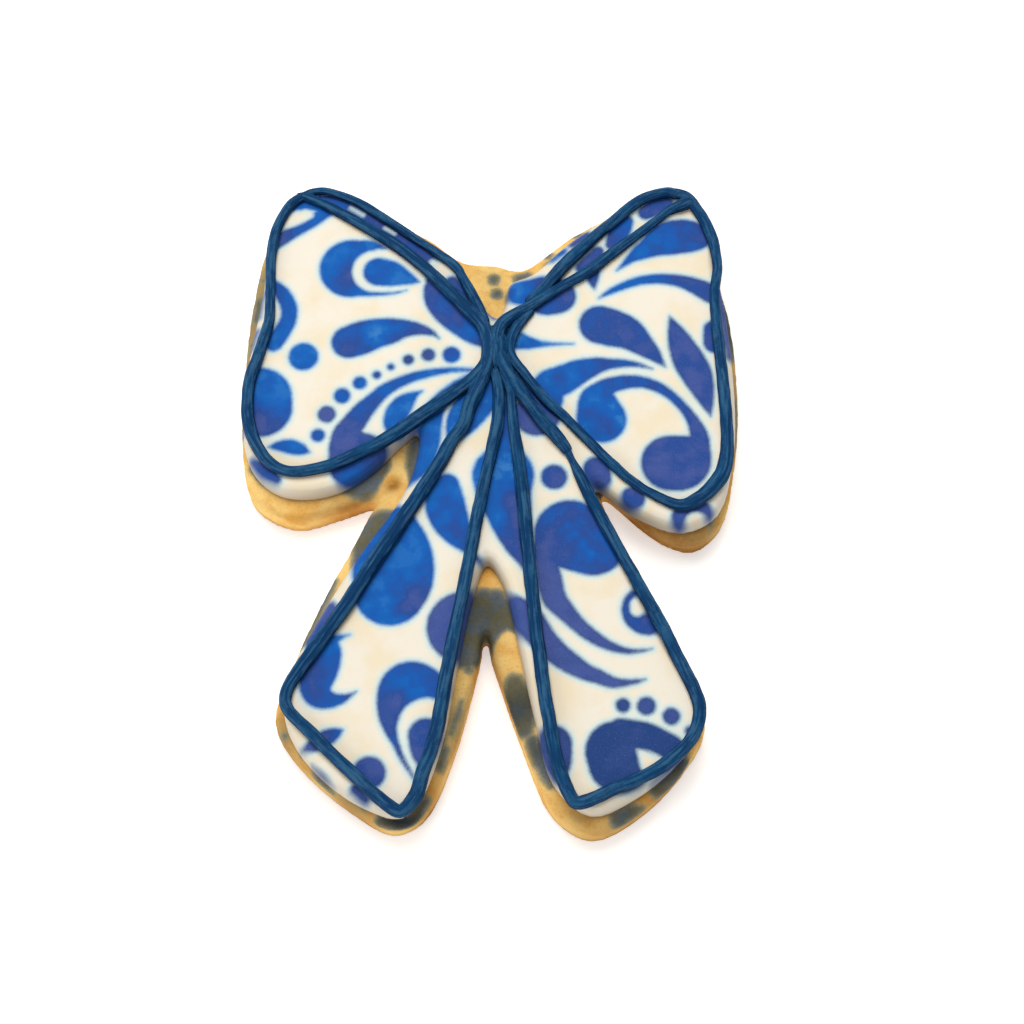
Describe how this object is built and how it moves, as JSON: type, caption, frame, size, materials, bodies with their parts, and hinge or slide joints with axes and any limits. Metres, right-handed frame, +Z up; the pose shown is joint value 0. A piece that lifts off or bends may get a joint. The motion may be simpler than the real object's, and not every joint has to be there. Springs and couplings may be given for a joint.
{
  "type": "iced sugar cookie",
  "caption": "Flat sugar cookie cut as a ribbon bow, flooded with white icing, stencilled with blue scrolls and edged with piped blue icing lines.",
  "frame": {"origin": "under the middle of the cookie, on the surface it lies on", "axes": "+Z up through the icing, +Y from the tails of the bow to its loops, +X to the right seen from above"},
  "size_m": [0.0751, 0.1006, 0.0116],
  "materials": {
    "baked_dough": "matt golden baked dough",
    "flooded_icing": "satin set icing",
    "piped_icing": "satin set icing"
  },
  "bodies": {
    "root": {"biscuit": "baked_dough", "icing": "flooded_icing", "piping": "piped_icing"}
  },
  "joints": []
}
